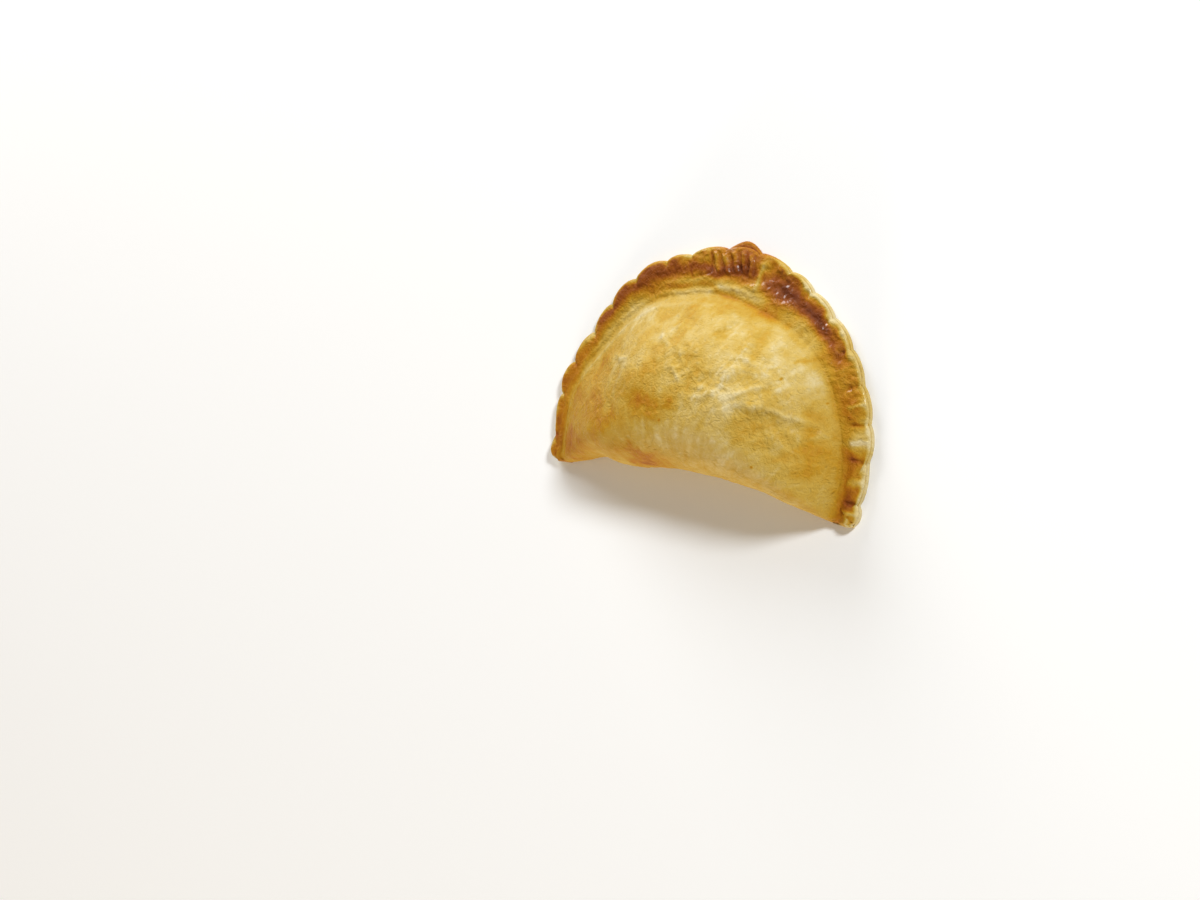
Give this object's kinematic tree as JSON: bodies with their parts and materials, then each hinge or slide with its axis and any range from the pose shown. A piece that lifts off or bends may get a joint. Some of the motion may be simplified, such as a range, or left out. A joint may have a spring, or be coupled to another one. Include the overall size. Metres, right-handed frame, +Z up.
{
  "type": "empanada",
  "caption": "Baked half-moon empanada, one uncut folded pastry with a domed golden crust, a scalloped pressed rim and a flat base.",
  "frame": {"origin": "under the middle of the part, on the plane of its flat base", "axes": "+X along the folded side towards the right corner, +Y towards the middle of the curved rim, +Z up out of the dome"},
  "size_m": [0.1398, 0.095, 0.0324],
  "materials": {
    "crust": null
  },
  "bodies": {
    "root": {"empanada": "crust"}
  },
  "joints": []
}
